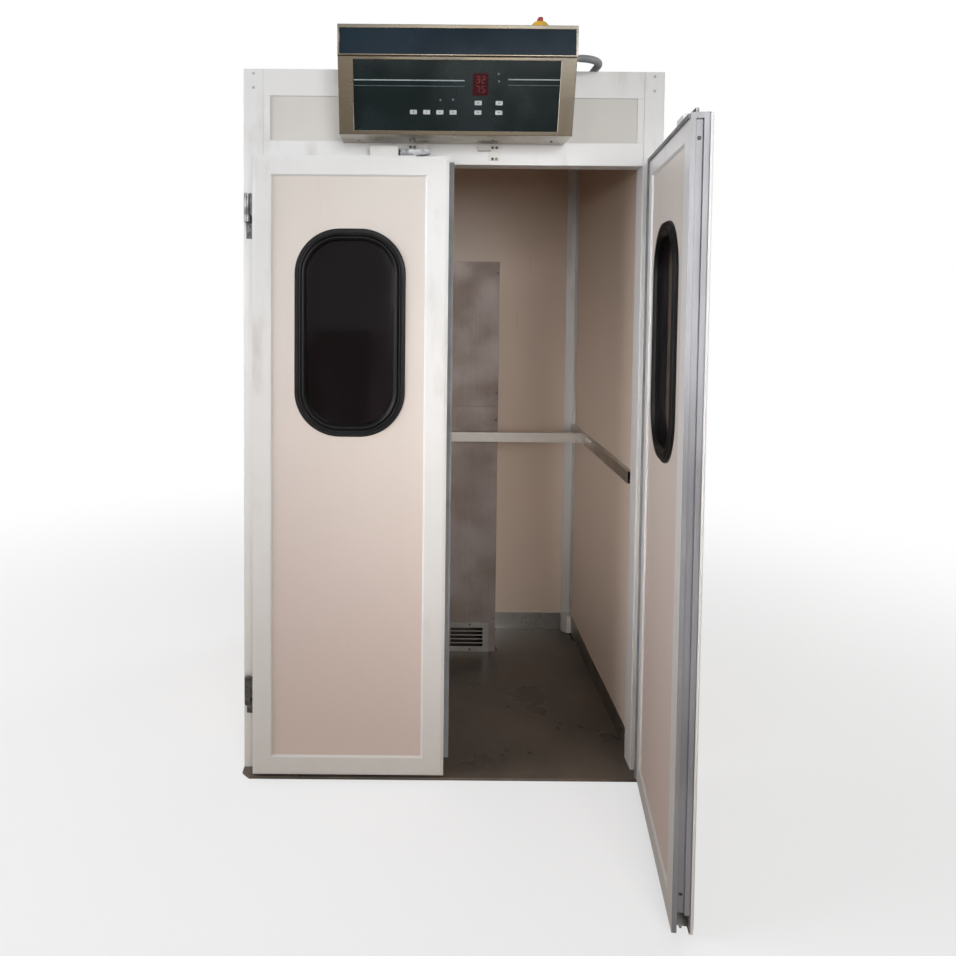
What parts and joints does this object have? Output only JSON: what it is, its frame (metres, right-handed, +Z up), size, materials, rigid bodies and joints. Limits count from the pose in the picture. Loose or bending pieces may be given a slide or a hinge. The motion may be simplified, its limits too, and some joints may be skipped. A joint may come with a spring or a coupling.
{
  "type": "walk-in proofing chamber",
  "caption": "Insulated walk-in chamber with two windowed swing doors, a sloping control box on its header and a climate column inside that warms and moistens the air round dough trolleys.",
  "frame": {"origin": "on the floor plate's underside, below the middle of the doorway, at the front faces of the posts", "axes": "+X to the right seen from the front, +Y from the doorway to the back wall, +Z up"},
  "size_m": [1.29, 1.7568, 2.2994],
  "materials": {
    "frame_white": "white powder coat, satin",
    "panel_cream": "cream painted sheet, satin",
    "infill_cream": "cream laminated panel, satin",
    "foam": null,
    "floor_resin": "dark resin plate, glossy",
    "stainless": "brushed stainless sheet",
    "rubber_black": "black moulded rubber",
    "rubber_grey": "grey extruded rubber",
    "pane": "smoked acrylic sheet, nearly opaque",
    "chrome": "polished",
    "screws": "bare steel",
    "latch_white": "white moulding",
    "dark_panel": "dark smooth panel",
    "display": "dark red window",
    "key_grey": "grey key cap",
    "board_green": "circuit board",
    "unit_grey": "moulded housings on a steel rail",
    "bezel_yellow": "yellow moulding",
    "knob_red": "red moulding",
    "conduit_grey": "ribbed mid-grey plastic",
    "motor_black": "black enamel",
    "fan_black": "moulded"
  },
  "bodies": {
    "cabinet": {"floor_plate": "floor_resin", "base_channels": "stainless", "wall_skins": "panel_cream", "roof_skins": "panel_cream", "insulation_cores": "foam", "front_posts": "frame_white", "header_frame": "frame_white", "header_infill": "infill_cream", "rear_corner_posts": "frame_white", "roof_trims": "frame_white", "bumper_rails": "stainless", "column_casing": "stainless", "column_front_panels": "stainless", "column_grille": "stainless", "fan_motor": "motor_black", "air_heater": "stainless", "humidifier": "stainless", "climate_probe": "stainless", "hinge_post_halves": "chrome", "hinge_pins": "chrome", "latch_strikers": "stainless", "cabinet_screws": "screws", "box_shell": "stainless", "box_back_plate": "stainless", "box_upper_panel": "dark_panel", "box_key_panel": "dark_panel", "display_window": "display", "control_board": "board_green", "power_unit": "unit_grey", "switch_bezel": "bezel_yellow", "conduit_fittings": "conduit_grey", "conduit": "conduit_grey"},
    "left_door": {"left_door_frame": "frame_white", "left_door_skins": "panel_cream", "left_door_core": "foam", "left_window_gasket": "rubber_black", "left_window_panes": "pane", "left_door_seals": "rubber_grey", "left_hinge_door_halves": "chrome", "left_latch_body": "latch_white"},
    "left_latch_nose": {"left_latch_nose": "chrome"},
    "right_door": {"right_door_frame": "frame_white", "right_door_skins": "panel_cream", "right_door_core": "foam", "right_window_gasket": "rubber_black", "right_window_panes": "pane", "right_door_seals": "rubber_grey", "right_hinge_door_halves": "chrome", "right_latch_body": "latch_white"},
    "right_latch_nose": {"right_latch_nose": "chrome"},
    "fan_impeller": {"fan_impeller": "fan_black"},
    "switch_knob": {"switch_knob": "knob_red"},
    "key_1": {"key_1": "key_grey"},
    "key_2": {"key_2": "key_grey"},
    "key_3": {"key_3": "key_grey"},
    "key_4": {"key_4": "key_grey"},
    "key_5": {"key_5": "key_grey"},
    "key_6": {"key_6": "key_grey"},
    "key_7": {"key_7": "key_grey"},
    "key_8": {"key_8": "key_grey"}
  },
  "joints": [
    {"name": "left_door_hinge", "type": "hinge", "parent": "cabinet", "child": "left_door", "pos_m": [-0.624, -0.042, 1], "axis": [0, 0, 1], "range_deg": [-110, 0]},
    {"name": "right_door_hinge", "type": "hinge", "parent": "cabinet", "child": "right_door", "pos_m": [0.624, -0.042, 1], "axis": [0, 0, 1], "range_deg": [-82, 28]},
    {"name": "left_latch_pivot", "type": "hinge", "parent": "left_door", "child": "left_latch_nose", "pos_m": [-0.16, -0.033, 1.943], "axis": [0, 0, 1], "range_deg": [-12, 0], "stiffness_Nm_per_rad": 1.2},
    {"name": "right_latch_pivot", "type": "hinge", "parent": "right_door", "child": "right_latch_nose", "pos_m": [0.55051, -0.50023, 1.943], "axis": [0, 0, 1], "range_deg": [0, 12], "stiffness_Nm_per_rad": 1.2},
    {"name": "fan_spin", "type": "hinge", "parent": "cabinet", "child": "fan_impeller", "pos_m": [0, 0.9355, 1.6], "axis": [0, 0, 1], "continuous": true},
    {"name": "switch_turn", "type": "hinge", "parent": "cabinet", "child": "switch_knob", "pos_m": [0.234, -0.165, 2.29], "axis": [0, 0, 1], "range_deg": [0, 90]},
    {"name": "key_1_press", "type": "slide", "parent": "cabinet", "child": "key_1", "axis": [0, 0.9629, 0.2698], "range_m": [0, 0.001], "stiffness_N_per_m": 600},
    {"name": "key_2_press", "type": "slide", "parent": "cabinet", "child": "key_2", "axis": [0, 0.9629, 0.2698], "range_m": [0, 0.001], "stiffness_N_per_m": 600},
    {"name": "key_3_press", "type": "slide", "parent": "cabinet", "child": "key_3", "axis": [0, 0.9629, 0.2698], "range_m": [0, 0.001], "stiffness_N_per_m": 600},
    {"name": "key_4_press", "type": "slide", "parent": "cabinet", "child": "key_4", "axis": [0, 0.9629, 0.2698], "range_m": [0, 0.001], "stiffness_N_per_m": 600},
    {"name": "key_5_press", "type": "slide", "parent": "cabinet", "child": "key_5", "axis": [0, 0.9629, 0.2698], "range_m": [0, 0.001], "stiffness_N_per_m": 600},
    {"name": "key_6_press", "type": "slide", "parent": "cabinet", "child": "key_6", "axis": [0, 0.9629, 0.2698], "range_m": [0, 0.001], "stiffness_N_per_m": 600},
    {"name": "key_7_press", "type": "slide", "parent": "cabinet", "child": "key_7", "axis": [0, 0.9629, 0.2698], "range_m": [0, 0.001], "stiffness_N_per_m": 600},
    {"name": "key_8_press", "type": "slide", "parent": "cabinet", "child": "key_8", "axis": [0, 0.9629, 0.2698], "range_m": [0, 0.001], "stiffness_N_per_m": 600}
  ]
}
